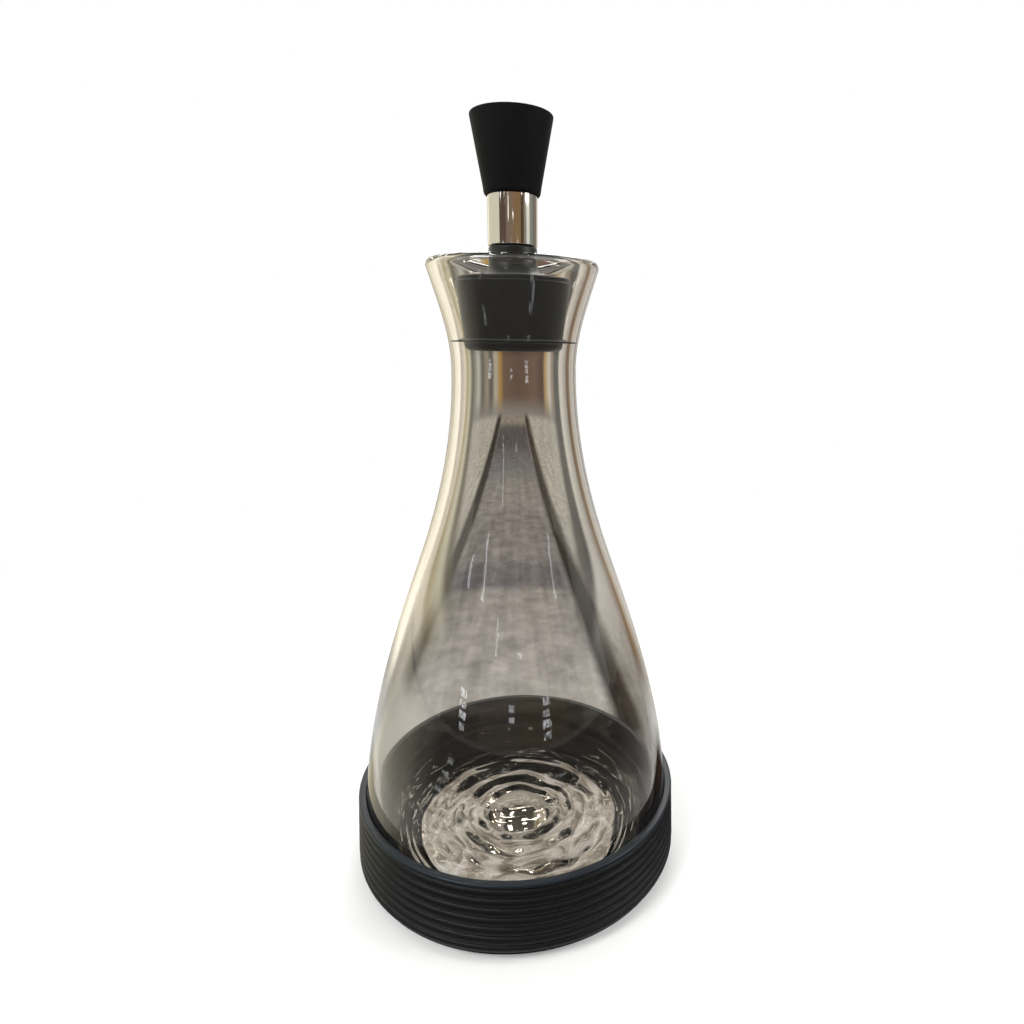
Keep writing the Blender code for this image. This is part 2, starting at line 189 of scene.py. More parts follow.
# boot: black silicone, ribbed outside, moulded in one piece
bootShape = {
    "floor": 2.0,
    "windowRadius": 31.6,
    "height": 22.9,
    "bore": 44.15,
    "boreTop": 18.5,
    "lipBore": 43.76,  # the soft lip hugs the glass
    "lipFoot": 22.0,
    "lipRadius": 45.8,
    "lipRounding": 0.5,
    "wallRadius": 46.8,  # over the ribs, where the rounded foot ends
    "footWidth": 7.0,
    "footHeight": 5.3,
    "highestGroove": 21.6,
    "ribPitch": 2.65,
    "ribDepth": 1.0,
    "ribRoundness": 2.1,  # 2 is a round rib, more is flatter with tighter grooves
    "ribSteps": 8,  # points from a rib's crest to its groove
    "lowestRib": 0.6,  # no rib reaches lower than this
    "footShares": (0.8, 0.42, 0.14, 0.0),  # heights of the points below the lowest groove
    "footRadius": 37.0,  # of the bottle inside
    "cornerTop": 12.0,
    "cornerSteps": 10,
    "steps": 176,
}


def bootOuter(height):
    # radius over the ribs: a leaning wall above a rounded foot
    shape = bootShape
    if height < shape["footHeight"]:
        drop = 1.0 - height / shape["footHeight"]
        return shape["wallRadius"] - shape["footWidth"] * (1.0 - math.sqrt(1.0 - drop ** 2))
    share = (height - shape["footHeight"]) / (shape["height"] - shape["footHeight"])
    return shape["wallRadius"] + (shape["lipRadius"] - shape["wallRadius"]) * share


def makeBoot():
    shape = bootShape
    pitch, depth, power = shape["ribPitch"], shape["ribDepth"], shape["ribRoundness"]
    top, groove = shape["height"], shape["highestGroove"]
    corners = [(shape["bore"], shape["boreTop"], 1.0), (shape["lipBore"], shape["lipFoot"], 0.4),
               (shape["lipBore"], top, 0.35), (bootOuter(top), top, shape["lipRounding"]),
               (bootOuter(groove + 0.5), groove + 0.45, 0.2),
               (bootOuter(groove) - depth, groove, 0.0)]
    while groove - pitch > shape["lowestRib"]:
        for step in range(1 - shape["ribSteps"], shape["ribSteps"]):
            across = step / shape["ribSteps"]
            bulge = (1.0 - abs(across) ** power) ** (1.0 / power)
            height = groove - 0.5 * pitch * (1.0 + across)
            corners.append((bootOuter(height) - depth * (1.0 - bulge), height, 0.0))
        groove -= pitch
        corners.append((bootOuter(groove) - depth, groove, 0.0))
    for share in shape["footShares"]:
        corners.append((bootOuter(groove * share), groove * share, 0.0))
    corners += [(shape["windowRadius"], 0.0, 0.3), (shape["windowRadius"], shape["floor"], 0.3)]
    corners += drawArc((shape["footRadius"], shape["cornerTop"]),
                       (shape["bore"] - shape["footRadius"], shape["cornerTop"] - shape["floor"]),
                       -90.0, 0.0, shape["cornerSteps"])
    return spinProfile("bootRibbed", drawProfile(corners, True), shape["steps"])


# bottle: clear soda-lime glass, blown in a mould, thick in its base
bottleShape = {
    "foot": 2.3,  # height of the foot ring above the table
    "belly": (12.0, 44.1, 0.0),
    "shoulder": (91.1, 25.7, -0.374),
    "waist": (141.3, 15.7, 0.0),
    "mouth": (164.5, 21.0, 0.31),
    "rimHeight": 1.6,
    "bodyWall": 2.2,
    "neckWall": 2.6,
    "footInner": 32.0,
    "footOuter": 37.0,
    "baseThickness": 6.0,
    "floorRadius": 33.0,  # of the flat bottom inside
    "innerCorner": 8.0,
    "heelWall": 0.7,  # how much thicker the wall is at the belly
    "heelTop": 40.0,
    "footRecess": 1.4,
    "bumpRadius": 9.2,
    "bumpRise": 5.2,
    "bumpPower": 0.7,
    "bumpRings": (2.3, 0.04),  # pitch and height of the fine rings on the bump
    "swirl": (4.6, 0.06),  # width and height of the uneven skin on the bump and under it
    "swirlRadius": 10.0,
    "swirlFade": 3.0,
    "insideShift": 40.0,  # so that it has other waves inside than on the underside
    # radius and height of the rings round the bump
    "rings": ((9.2, -0.7), (11.4, 1.1), (14.0, -0.4), (16.8, 0.9), (20.3, -0.4), (24.0, 0.7),
              (28.6, -0.2), (34.0, 0.6)),
    # uneven ripples on the bottom inside and on the underside: how many in a turn, width, depth
    "ripples": ((14.0, 3.4, 0.85), (30.0, 2.0, 0.32), (9.0, 7.0, 0.9)),
    "underRipples": (16.0, 3.8, 0.4),
    "rippleStart": (7.5, 4.0), # radius from which they grow, and over what width
    "rippleEnd": 4.0,  # width over which they fade out towards the wall
    "underEnd": 3.0,
    "floorBand": (1.2, 0.6),  # this much below the floor and above the bump still belongs to it
    "underRadius": 29.5,  # of the underside within the foot ring
    "puntRadius": 10.5,
    "puntRise": 0.3,
    "floorSteps": 66,  # points along the outline of each part
    "cornerSteps": 12,
    "wallSteps": 60,
    "underSteps": 45,
    "steps": 192,
}


def easeBetween(height, low, high):
    # smooth cubic between two stations of (height, radius, lean)
    length = high[0] - low[0]
    t = (height - low[0]) / length
    fromLow = (2 * t ** 3 - 3 * t ** 2 + 1) * low[1] + (t ** 3 - 2 * t ** 2 + t) * length * low[2]
    fromHigh = (3 * t ** 2 - 2 * t ** 3) * high[1] + (t ** 3 - t ** 2) * length * high[2]
    return fromLow + fromHigh


def bottleOuter(height):
    shape = bottleShape
    for low, high in (("belly", "shoulder"), ("shoulder", "waist"), ("waist", "mouth")):
        if height <= shape[high][0] or high == "mouth":
            return easeBetween(height, shape[low], shape[high])


def bottleInner(height):
    shape = bottleShape
    share = (height - shape["belly"][0]) / (shape["waist"][0] - shape["belly"][0])
    wall = shape["bodyWall"] + (shape["neckWall"] - shape["bodyWall"]) * min(max(share, 0.0), 1.0)
    low = max(0.0, (shape["heelTop"] - height) / (shape["heelTop"] - shape["belly"][0]))
    return bottleOuter(height) - wall - shape["heelWall"] * low * low * (3.0 - 2.0 * low)


def bottleFloor(radius):
    # inner bottom: a bump in the middle and the low rings that the mould leaves round it
    shape = bottleShape
    level = shape["foot"] + shape["baseThickness"]
    rings = shape["rings"]
    if radius < rings[0][0]:
        bump = (1.0 - (radius / shape["bumpRadius"]) ** 2) ** shape["bumpPower"]
        pitch, height = shape["bumpRings"]
        fine = height * math.cos(math.tau * radius / pitch)
        return level + rings[0][1] + shape["bumpRise"] * bump + fine
    for low, high in zip(rings, rings[1:]):
        if radius <= high[0]:
            share = 0.5 - 0.5 * math.cos(math.pi * (radius - low[0]) / (high[0] - low[0]))
            return level + low[1] + (high[1] - low[1]) * share


def rippleAt(place, around, across):
    # uneven low ripples that run round the axis: how many in a turn, and how wide in mm
    radius = math.hypot(place.x, place.y)
    if radius == 0.0:
        return 0.0
    spot = Vector((place.x, place.y, 0.0)) * (around / math.tau / radius)
    return noise.noise(spot + Vector((0.0, 0.0, radius / (across * mm))))


def ruffleFloor(piece):
    # uneven ripples over the inner bottom and the underside
    shape = bottleShape
    level = shape["foot"] + shape["baseThickness"]
    recess = shape["foot"] + shape["footRecess"]
    bottom = level - shape["floorBand"][0]
    top = level + shape["bumpRise"] + shape["floorBand"][1]
    across, depth = shape["swirl"]
    start, grow = shape["rippleStart"]
    for vert in piece.data.vertices:
        radius = math.hypot(vert.co.x, vert.co.y) / mm
        height = vert.co.z / mm
        if radius < shape["swirlRadius"] and height < top:
            side = shape["insideShift"] if height > bottom else 0.0
            spot = Vector((vert.co.x, vert.co.y, side * mm)) / (across * mm)
            fade = min(1.0, (shape["swirlRadius"] - radius) / shape["swirlFade"])
            vert.co.z += mm * depth * fade * noise.noise(spot)
        calm = min(1.0, max(0.0, radius - start) / grow)
        if radius < shape["floorRadius"] and bottom < height < top:
            fade = min(1.0, (shape["floorRadius"] - radius) / shape["rippleEnd"]) * calm
            wave = sum(deep * rippleAt(vert.co, around, wide)
                       for around, wide, deep in shape["ripples"])
            vert.co.z += mm * fade * wave
        elif radius < shape["underRadius"] and height < recess + shape["puntRise"] + 0.2:
            fade = min(1.0, (shape["underRadius"] - radius) / shape["underEnd"]) * calm
            around, wide, deep = shape["underRipples"]
            vert.co.z += mm * fade * deep * rippleAt(-vert.co, around, wide)


def makeBottle():
    shape = bottleShape
    corners = []
    flat = shape["floorRadius"]
    for step in range(shape["floorSteps"]):
        radius = flat * step / shape["floorSteps"]
        corners.append((radius, bottleFloor(radius), 0.0))
    cornerTop = shape["foot"] + shape["baseThickness"] + shape["innerCorner"]
    wallSteps, cornerSteps = shape["wallSteps"], shape["cornerSteps"]
    corners += drawArc((flat, cornerTop),
                       (bottleInner(cornerTop) - flat, shape["innerCorner"]),
                       -90.0, 0.0, cornerSteps)[:-1]
    rim = shape["mouth"][0]
    for step in range(wallSteps + 1):
        height = cornerTop + (rim - cornerTop) * step / wallSteps
        corners.append((bottleInner(height), height, 0.0))
    middle = (bottleOuter(rim) + bottleInner(rim)) / 2
    half = (bottleOuter(rim) - bottleInner(rim)) / 2
    corners += drawArc((middle, rim), (half, shape["rimHeight"]), 180.0, 0.0, cornerSteps)[1:-1]
    belly = shape["belly"][0]
    for step in range(wallSteps + 1):
        height = rim + (belly - rim) * step / wallSteps
        corners.append((bottleOuter(height), height, 0.0))
    corners += drawArc((shape["footOuter"], belly),
                       (shape["belly"][1] - shape["footOuter"], shape["foot"] - belly),
                       0.0, 90.0, cornerSteps)[1:-1]
    recess = shape["foot"] + shape["footRecess"]
    corners += [(shape["footOuter"], shape["foot"], 0.0), (shape["footInner"], shape["foot"], 0.6),
                (shape["footInner"] - shape["footRecess"], recess, 0.6)]
    for step in range(shape["underSteps"] + 1):
        radius = shape["underRadius"] * (1.0 - step / shape["underSteps"])
        share = min(1.0, radius / shape["puntRadius"])
        rise = shape["puntRise"] * (0.5 + 0.5 * math.cos(math.pi * share))
        corners.append((radius, recess + rise, 0.0))
    piece = spinProfile("bottleGlass", drawProfile(corners, False), shape["steps"])
    ruffleFloor(piece)
    return piece


# stopper plug: black silicone with a thin wiper lip, collar under the tube
plugShape = {
    "seal": 147.6,  # height of the wiper lip's top
    "sealThickness": 0.6,
    "sealRadius": 13.75,  # presses on the glass, so that its ring shows across the neck
    "footRadius": 12.3,
    "footLength": 2.5,
    "headLength": 14.8,
    "headRadius": 14.15,
    "rimStep": 1.0,
    "rimInset": 0.3,
    "wall": 2.2,
    "roof": 2.1,
    "hemWidth": 2.4,
    "hemThickness": 0.8,
    "collarRadius": 5.9,
    "collarLength": 6.8,
    "collarBore": 5.0,
    "flare": 3.0,
    "crown": 0.5,
    "steps": 144,
}


def makePlug():
    shape = plugShape
    seal, head, low = shape["seal"], shape["headRadius"], shape["footRadius"]
    top = seal + shape["headLength"]
    foot = seal - shape["footLength"]
    roof = top - shape["roof"]
    collarTop = top + shape["collarLength"]
    hemTop = foot + shape["hemThickness"]
    hemBore = low - shape["wall"] - shape["hemWidth"]
    share = shape["hemThickness"] / (shape["headLength"] + shape["footLength"])
    corners = [(shape["collarRadius"], collarTop, 0.25)]
    corners += drawArc((shape["collarRadius"] + shape["flare"], top + shape["flare"]),
                       (-shape["flare"], shape["crown"] - shape["flare"]), 0.0, 90.0, 9)
    corners += [(head - shape["rimInset"], top, 0.35),
                (head - shape["rimInset"], top - shape["rimStep"], 0.1),
                (head, top - shape["rimStep"] - 0.15, 0.12),
                (low + 0.05, seal + 0.5, 0.2), (shape["sealRadius"], seal, 0.05),
                (shape["sealRadius"], seal - 0.5 * shape["sealThickness"], 0.05),
                (low, seal - shape["sealThickness"], 0.15), (low, foot, 1.3),
                (hemBore, foot, 0.25), (hemBore, hemTop, 0.25),
                (low - shape["wall"] + (head - low) * share, hemTop, 0.0),
                (head - shape["wall"] - 0.16, roof, 0.3),
                (shape["collarBore"], roof, 0.2), (shape["collarBore"], collarTop, 0.2)]
    return spinProfile("stopperPlugSilicone", drawProfile(corners, True), shape["steps"])


# core: black plastic spool that stiffens the plug
coreShape = {
    "foot": 146.2,
    "flangeTop": 160.0,
    "flange": 1.8,
    "flangeTaper": 0.13,
    "lowRadius": 10.39,
    "highRadius": 11.38,
    "pipeRadius": 4.7,
    "pipeBore": 3.7,
    "pipeTop": 177.5,
    "steps": 96,
}


def makeCore():
    shape = coreShape
    top, foot, flange = shape["flangeTop"], shape["foot"], shape["flange"]
    high, low, pipe = shape["highRadius"], shape["lowRadius"], shape["pipeRadius"]
    corners = [(pipe, shape["pipeTop"], 0.4), (pipe, top, 0.2), (high, top, 0.3),
               (high - shape["flangeTaper"], top - flange, 0.3), (pipe, top - flange, 0.4),
               (pipe, foot + flange, 0.4), (low, foot + flange, 0.3),
               (low - shape["flangeTaper"], foot, 0.3), (shape["pipeBore"], foot, 0.3),
               (shape["pipeBore"], shape["pipeTop"], 0.2)]
    return spinProfile("stopperCorePlastic", drawProfile(corners, True), shape["steps"])


# tube: drawn stainless steel, mirror polished
tubeShape = {
    "foot": 169.5,
    "top": 192.6,
    "radius": 6.0,
    "bore": 5.0,
    "edge": 0.25,
    "steps": 128,
}


def makeTube():
    shape = tubeShape
    edge = shape["edge"]
    corners = [(shape["radius"], shape["top"], edge), (shape["radius"], shape["foot"], edge),
               (shape["bore"], shape["foot"], 0.12), (shape["bore"], shape["top"], edge)]
    return spinProfile("pourTubeSteel", drawProfile(corners, True), shape["steps"])


# cap: black silicone, wider at its top, and the plastic stem held in it
capShape = {
    "foot": 180.7,
    "top": 197.9,
    "footRadius": 6.9,
    "topRadius": 9.85,
    "topRounding": 0.4,
    "lipHeight": 1.5,
    "socketRadius": 6.3,
    "socketTop": 192.9,
    "pocketRadius": 7.8,
    "pocketTop": 194.9,
    "steps": 144,
}


def makeCap():
    shape = capShape
    corners = [(0.0, shape["top"], 0.0), (shape["topRadius"], shape["top"], shape["topRounding"]),
               (shape["footRadius"], shape["foot"] + shape["lipHeight"], 0.9)]
    socket, pocket = shape["socketRadius"], shape["pocketRadius"]
    corners += drawArc((socket, shape["foot"] + shape["lipHeight"]),
                       (shape["footRadius"] - socket, -shape["lipHeight"]), 20.0, 80.0, 4)
    corners += [(socket, shape["foot"], 0.0), (socket, shape["socketTop"], 0.2),
                (pocket, shape["socketTop"], 0.1), (pocket, shape["pocketTop"], 0.2),
                (0.0, shape["pocketTop"], 0.0)]
    return spinProfile("capSilicone", drawProfile(corners, False), shape["steps"])


stemShape = {
    "top": 194.6,
    "headFoot": 193.2,
    "headRadius": 7.5,
    "foot": 190.4,
    "radius": 4.7,
    "edge": 0.35,
    "steps": 96,
}


def makeStem():
    shape = stemShape
    corners = [(0.0, shape["top"], 0.0), (shape["headRadius"], shape["top"], shape["edge"]),
               (shape["headRadius"], shape["headFoot"], 0.15),
               (shape["radius"], shape["headFoot"], 0.2),
               (shape["radius"], shape["foot"], shape["edge"]), (0.0, shape["foot"], 0.0)]
    return spinProfile("capStemPlastic", drawProfile(corners, False), shape["steps"])


# finishes
def cloudedSkin(name, look):
    # what rubber and plastic share: slow changes in tone and roughness, and a fine grain
    finish, tree = newMaterial(name)
    spot = addNode(tree, "TexCoord").outputs["Object"]
    scale, detail, spread = look["cloud"]
    cloud = addNode(tree, "TexNoise", {"Scale": scale, "Detail": detail}, {"Vector": spot})
    tone = addNode(tree, "Mix", colours | {6: look["dark"], 7: look["light"]}, {0: cloud})
    rough = addNode(tree, "MapRange", {toEdges: (look["rough"] - spread, look["rough"] + spread)},
                    {"Value": cloud})
    size, strength, depth = look["grain"]
    grain = addNode(tree, "TexNoise", {"Scale": 1.0 / (size * mm), "Detail": 2.0}, {"Vector": spot})
    bump = addNode(tree, "Bump", {"Strength": strength, "Distance": depth * mm}, {"Height": grain})
    return finish, tree, spot, tone.outputs[2], rough, bump


siliconeSkin = {
    "ior": 1.41,
    "cloud": (55.0, 3.0, 0.05),  # scale and detail, and how much the roughness changes
    "speckEdge": (0.03, 0.06),
    "speckTone": "8c8f90",
    "sheenRough": 0.45,
    "lipFade": 0.4,
}
bootLook = {
    "dark": "08090a",
    "light": "0e0f10",
    "mirror": 0.36,
    "rough": 0.5,
    "sheen": (0.08, "a8b6c6"),
    "grain": (0.18, 0.5, 0.05),  # size, strength and depth
    "lint": (260.0, 0.06),  # scale of the specks and the share that is kept
    "lip": (21.7, 0.65, "1b2229"),  # from this height up smoother by this factor, and a bluish tone that is painted reflection
}
plugLook = {
    "dark": "08090a",
    "light": "0d0e0f",
    "mirror": 0.4,
    "rough": 0.4,
    "sheen": (0.5, "c9d2d0"),
    "grain": (0.3, 0.03, 0.05),
    "lint": (320.0, 0.03),
}
capLook = {
    "dark": "0b0c0e",
    "light": "101214",
    "mirror": 0.16,
    "rough": 0.7,
    "sheen": (0.0, "b0b6bc"),
    "grain": (0.16, 0.5, 0.05),
    "lint": (420.0, 0.02),
}


def siliconeFinish(name, look):
    # silicone rubber, moulded in a blasted tool: deep black, hardly any mirror, a soft bloom at the
    # edges, a fine grit that breaks up the light, and the lint that silicone always picks up
    look = siliconeSkin | look
    finish, tree, spot, tone, rough, bump = cloudedSkin(name, look)
    # above the lip's foot the silicone is smoother, and its base colour turns bluish: a painted
    # reflection
    if "lip" in look:
        foot, polish, paintedLipReflection = look["lip"]
        height = addNode(tree, "SeparateXYZ", {}, {"Vector": spot}).outputs["Z"]
        lip = addNode(tree, "MapRange", {fromEdges: (foot * mm, (foot + look["lipFade"]) * mm)},
                      {"Value": height})
        tone = addNode(tree, "Mix", colours | {7: paintedLipReflection}, {0: lip, 6: tone}).outputs[2]
        smooth = addNode(tree, "MapRange", {toEdges: (1.0, polish)}, {"Value": lip})
        rough = addNode(tree, "Math", times, {0: rough, 1: smooth})
    scale, share = look["lint"]
    lint = addNode(tree, "TexVoronoi", {"Scale": scale, "Randomness": 1.0}, {"Vector": spot})
    speck = addNode(tree, "MapRange", {fromEdges: look["speckEdge"], toEdges: (1.0, 0.0)},
                    {"Value": lint})
    pick = addNode(tree, "SeparateColor", {}, {"Color": lint.outputs["Color"]}).outputs["Red"]
    rare = addNode(tree, "Math", {"operation": 'LESS_THAN', 1: share}, {0: pick})
    seen = addNode(tree, "Math", times, {0: speck, 1: rare})
    dusty = addNode(tree, "Mix", colours | {7: look["speckTone"]}, {0: seen, 6: tone})
    sheen, sheenTint = look["sheen"]
    shader = addNode(tree, "BsdfPrincipled",
                     {"IOR": look["ior"], "Specular IOR Level": look["mirror"],
                      "Sheen Weight": sheen, "Sheen Roughness": look["sheenRough"],
                      "Sheen Tint": sheenTint},
                     {"Base Color": dusty.outputs[2], "Roughness": rough, "Normal": bump})
    addNode(tree, "OutputMaterial", {}, {"Surface": shader})
    return finish


plasticSkin = {
    "cloud": (90.0, 2.0, 0.06),
    "grain": (0.25, 0.15, 0.02),
    "glowReach": (0.6, 0.6, 0.5),  # of the light that spreads inside
}
coreLook = {"dark": "141414", "light": "1c1c1d", "rough": 0.35, "ior": 1.5, "glow": 0.0}
stemLook = {"dark": "161616", "light": "1f1f20", "rough": 0.38, "ior": 1.5, "glow": 0.0}
insertLook = {"dark": "d8d6cc", "light": "e6e4da", "rough": 0.4, "ior": 1.51, "glow": 0.3}


def plasticFinish(name, look):
    # injection-moulded plastic: an even satin skin with a fine tool grain
    look = plasticSkin | look
    finish, tree, spot, tone, rough, bump = cloudedSkin(name, look)
    shader = addNode(tree, "BsdfPrincipled",
                     {"IOR": look["ior"], "Subsurface Weight": look["glow"],
                      "Subsurface Radius": look["glowReach"], "Subsurface Scale": mm},
                     {"Base Color": tone, "Roughness": rough, "Normal": bump})
    addNode(tree, "OutputMaterial", {}, {"Surface": shader})
    return finish


def drawnBump(tree, spot, marks):
    # faint marks that are drawn out up the piece
    scale, stretch, detail, strength, depth = marks
    upright = addNode(tree, "Mapping", {"Scale": (1.0, 1.0, stretch)}, {"Vector": spot})
    lines = addNode(tree, "TexNoise", {"Scale": scale, "Detail": detail}, {"Vector": upright})
    return addNode(tree, "Bump", {"Strength": strength, "Distance": depth * mm}, {"Height": lines})


glassLook = {
    "tint": "f2f0ec",
    "ior": 1.51,
    "waves": (45.0, 0.25, 1.0, 0.12, 1.0),  # scale, stretch, detail, strength and depth
    "lampTint": "fbfaf7",  # of the light that shines through it
    "smoke": ("a9a7a4", 60.0),
}


def glassFinish():
    # clear soda-lime glass, fire polished: sharp mirror, faint waves from blowing, a light smoky
    # cast that deepens where the wall is thick. Lamps shine through it onto what is under it
    look = glassLook
    finish, tree = newMaterial("clear_glass")
    spot = addNode(tree, "TexCoord").outputs["Object"]
    shader = addNode(tree, "BsdfPrincipled",
                     {"Base Color": look["tint"], "Roughness": 0.0, "IOR": look["ior"],
                      "Transmission Weight": 1.0}, {"Normal": drawnBump(tree, spot, look["waves"])})
    through = addNode(tree, "BsdfTransparent", {"Color": look["lampTint"]})
    path = addNode(tree, "LightPath").outputs
    lamp = addNode(tree, "Math", larger, {0: path["Is Shadow Ray"], 1: path["Is Diffuse Ray"]})
    mix = addNode(tree, "MixShader", {}, {0: lamp, 1: shader, 2: through})
    tint, density = look["smoke"]
    smoke = addNode(tree, "VolumeAbsorption", {"Color": tint, "Density": density})
    addNode(tree, "OutputMaterial", {}, {"Surface": mix, "Volume": smoke})
    return finish


steelLook = {
    "tint": "d6d1c8",
    "lines": (2500.0, 0.02, 2.0, 0.08, 0.02),
    "smears": 160.0,
    "smearEdge": (0.35, 0.75),
    "rough": (0.04, 0.13),
}


def steelFinish():
    # stainless steel, drawn and mirror polished: a clear mirror with faint draw lines along the
    # tube and a few finger smears that blur it in patches
    look = steelLook
    finish, tree = newMaterial("polished_stainless_steel")
    spot = addNode(tree, "TexCoord").outputs["Object"]
    smear = addNode(tree, "TexNoise", {"Scale": look["smears"], "Detail": 4.0}, {"Vector": spot})
    rough = addNode(tree, "MapRange", {fromEdges: look["smearEdge"], toEdges: look["rough"]},
                    {"Value": smear})
    shader = addNode(tree, "BsdfPrincipled", {"Base Color": look["tint"], "Metallic": 1.0},
                     {"Roughness": rough, "Normal": drawnBump(tree, spot, look["lines"])})
    addNode(tree, "OutputMaterial", {}, {"Surface": shader})
    return finish


bootSilicone = siliconeFinish("black_silicone_boot", bootLook)
plugSilicone = siliconeFinish("black_silicone_plug", plugLook)
capSilicone = siliconeFinish("black_silicone_cap", capLook)
corePlastic = plasticFinish("black_abs_core", coreLook)
stemPlastic = plasticFinish("black_abs_stem", stemLook)
insertPlastic = plasticFinish("natural_polyethylene_insert", insertLook)
clearGlass = glassFinish()
polishedSteel = steelFinish()
print("finishes made")

dress(makeBoot(), "boot", bootSilicone, "base_boot")
dress(makeBottle(), "bottle", clearGlass, "glass_bottle")
print("boot and bottle made")
dress(makePlug(), "stopper", plugSilicone, "stopper_plug")
dress(makeCore(), "stopper", corePlastic, "stopper_core")
dress(makeTube(), "stopper", polishedSteel, "pour_tube")
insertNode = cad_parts["pour_insert"]
insertNode.data.materials.clear()
insertNode.data.materials.append(insertPlastic)
print("stopper made")
dress(makeCap(), "cap", capSilicone, "cap_shell")
dress(makeStem(), "cap", stemPlastic, "cap_stem")
print("cap made")


# set: pale floor, white surround and softboxes, and screens that only mirrors and glass see.
# Azimuths count in degrees from behind the bottle, to the left
setLook = {
    "floor": "e6e6e4",
    "floorReach": 4000.0,
    "bounce": "8a857f",  # the light it throws back onto the object, as dull as from wood
    "floorLift": 0.22,
    "fade": (160.0, 420.0),  # it turns into the white surround between these radii
    "fadeInMirrors": (10.0, 240.0),
    "white": "ffffff",
    "worldLight": 0.55,
    "roomLight": 0.34,  # the surround as mirrors and glass see it
    "roomTint": "fff9f0",
    "aimHeight": 90.0,  # of the softboxes
    "screenSteps": 24,
}


def makeFloor(look):
    # matte paper: pale and even, with a soft shadow under the object, lost in the white further off
    bm = bmesh.new()
    bmesh.ops.create_grid(bm, x_segments=1, y_segments=1, size=look["floorReach"] * mm)
    floor = placeMesh("floor", bm)
    finish, tree = newMaterial("matte_paper_floor")
    path = addNode(tree, "LightPath").outputs
    camera = path["Is Camera Ray"]
    tone = addNode(tree, "Mix", colours | {6: look["floor"], 7: look["bounce"]},
                   {0: path["Is Diffuse Ray"]})
    paper = addNode(tree, "BsdfDiffuse", {}, {"Color": tone.outputs[2]})
    mirrored = addNode(tree, "Math", larger,
                       {0: path["Is Glossy Ray"], 1: path["Is Transmission Ray"]})
    seen = addNode(tree, "Math", larger, {0: camera, 1: mirrored})
    liftPower = addNode(tree, "Math", times | {1: look["floorLift"]}, {0: camera})
    lift = addNode(tree, "Emission", {"Color": look["white"]}, {"Strength": liftPower})
    lifted = addNode(tree, "AddShader", {}, {0: paper, 1: lift})
    spot = addNode(tree, "TexCoord").outputs["Object"]
    reach = addNode(tree, "VectorMath", {"operation": 'LENGTH'}, {0: spot}).outputs["Value"]
    fade, early = [
        addNode(tree, "MapRange", eased | {fromEdges: (start * mm, end * mm)}, {"Value": reach})
        for start, end in (look["fade"], look["fadeInMirrors"])]
    amount = addNode(tree, "Mix", {"data_type": 'FLOAT'}, {0: mirrored, 2: fade, 3: early})
    far = addNode(tree, "Math", times, {0: amount, 1: seen})
    farPower = addNode(tree, "Math", {"operation": 'MULTIPLY_ADD', 1: look["roomLight"]},
                       {0: mirrored, 2: camera})
    farColor = addNode(tree, "Mix", colours | {6: look["white"], 7: look["roomTint"]},
                       {0: mirrored})
    white = addNode(tree, "Emission", {}, {"Color": farColor.outputs[2], "Strength": farPower})
    whole = addNode(tree, "MixShader", {}, {0: far, 1: lifted, 2: white})
    addNode(tree, "OutputMaterial", {}, {"Surface": whole})
    floor.data.materials.append(finish)


def makeWorld(look):
    # plain white to the camera, a dimmer and warmer room to mirrors and glass
    world = bpy.data.worlds.new("whiteSurround")
    bpy.context.scene.world = world
    world.use_nodes = True
    tree = world.node_tree
    tree.nodes.clear()
    path = addNode(tree, "LightPath").outputs
    mirrored = addNode(tree, "Math", larger,
                       {0: path["Is Glossy Ray"], 1: path["Is Transmission Ray"]})
    dim, room, white = [
        addNode(tree, "Background", {"Color": look[tint], "Strength": strength})
        for tint, strength in (("white", look["worldLight"]), ("roomTint", look["roomLight"]),
                               ("white", 1.0))]
    inside = addNode(tree, "MixShader", {}, {0: mirrored, 1: dim, 2: room})
    mix = addNode(tree, "MixShader", {}, {0: path["Is Camera Ray"], 1: inside, 2: white})
    addNode(tree, "OutputWorld", {}, {"Surface": mix})


softboxes = [
    # name, place, size across and up, power in watts
    ("softboxKey", (-420.0, -380.0, 620.0), (280.0, 280.0), 3.2),
    ("softboxFill", (560.0, -200.0, 420.0), (220.0, 320.0), 1.6),
    ("softboxBack", (80.0, 620.0, 700.0), (500.0, 260.0), 3.0),
    ("stripLeft", (-210.0, -120.0, 900.0), (110.0, 26.0), 0.4),
    ("stripRight", (170.0, -170.0, 940.0), (110.0, 26.0), 0.4),
    ("stripBack", (-20.0, 240.0, 900.0), (110.0, 26.0), 0.4),
]


def makeSoftbox(name, place, size, power):
    lamp = bpy.data.lights.new(name, 'AREA')
    lamp.shape = 'RECTANGLE'
    lamp.size = size[0] * mm
    lamp.size_y = size[1] * mm
    lamp.energy = power
    box = bpy.data.objects.new(name, lamp)
    bpy.context.scene.collection.objects.link(box)
    box.location = Vector(place) * mm
    aim = Vector((0.0, 0.0, setLook["aimHeight"])) * mm - box.location
    box.rotation_euler = aim.to_track_quat('-Z', 'Y').to_euler()
    box.visible_transmission = False


def spinScreen(name, points, azimuth, width, finish, through):
    # a curved screen round the set, seen only in mirrors and, where it says so, through the glass
    start = math.radians(90.0 + azimuth - width / 2)
    bm = bmesh.new()
    verts = [bm.verts.new((radius * math.cos(start) * mm, radius * math.sin(start) * mm,
                           height * mm)) for radius, height in points]
    edges = [bm.edges.new(pair) for pair in zip(verts, verts[1:])]
    bmesh.ops.spin(bm, geom=verts + edges, cent=(0, 0, 0), axis=(0, 0, 1),
                   angle=math.radians(width), steps=setLook["screenSteps"])
    screen = placeMesh(name, bm)
    screen.data.materials.append(finish)
    screen.visible_camera = False
    screen.visible_diffuse = False
    screen.visible_shadow = False
    screen.visible_transmission = through


